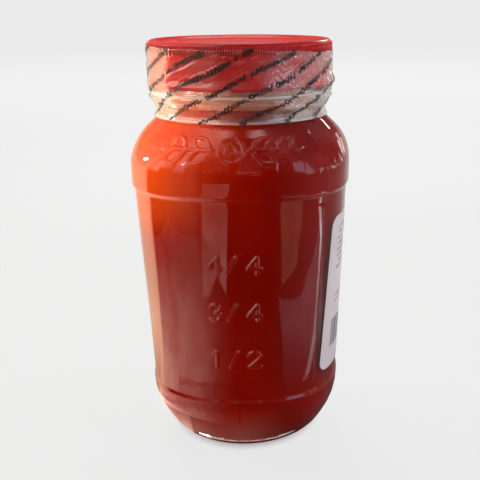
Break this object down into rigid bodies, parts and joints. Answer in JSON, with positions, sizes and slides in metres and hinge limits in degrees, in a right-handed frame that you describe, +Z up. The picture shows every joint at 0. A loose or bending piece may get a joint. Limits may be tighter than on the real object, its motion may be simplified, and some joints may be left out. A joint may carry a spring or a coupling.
{
  "type": "jar of barbecue sauce",
  "caption": "Softly square glass mason jar filled with barbecue sauce, with a red screw lid, a clear seal band and a paper label.",
  "frame": {"origin": "centre of the foot, on the surface the jar stands on", "axes": "+Z up the jar; -Y out of the front, the side with the measuring marks; +X out of the side with the label"},
  "size_m": [0.0938, 0.0938, 0.1764],
  "materials": {
    "glass": "clear, glossy",
    "sauce": "wet, glossy",
    "lid_paint": "gloss lacquer",
    "film": "clear, glossy, crinkled",
    "paper": "coated paper"
  },
  "bodies": {
    "root": {"jar": "glass", "sauce": "sauce", "lid": "lid_paint", "seal_band": "film", "label": "paper"}
  },
  "joints": []
}
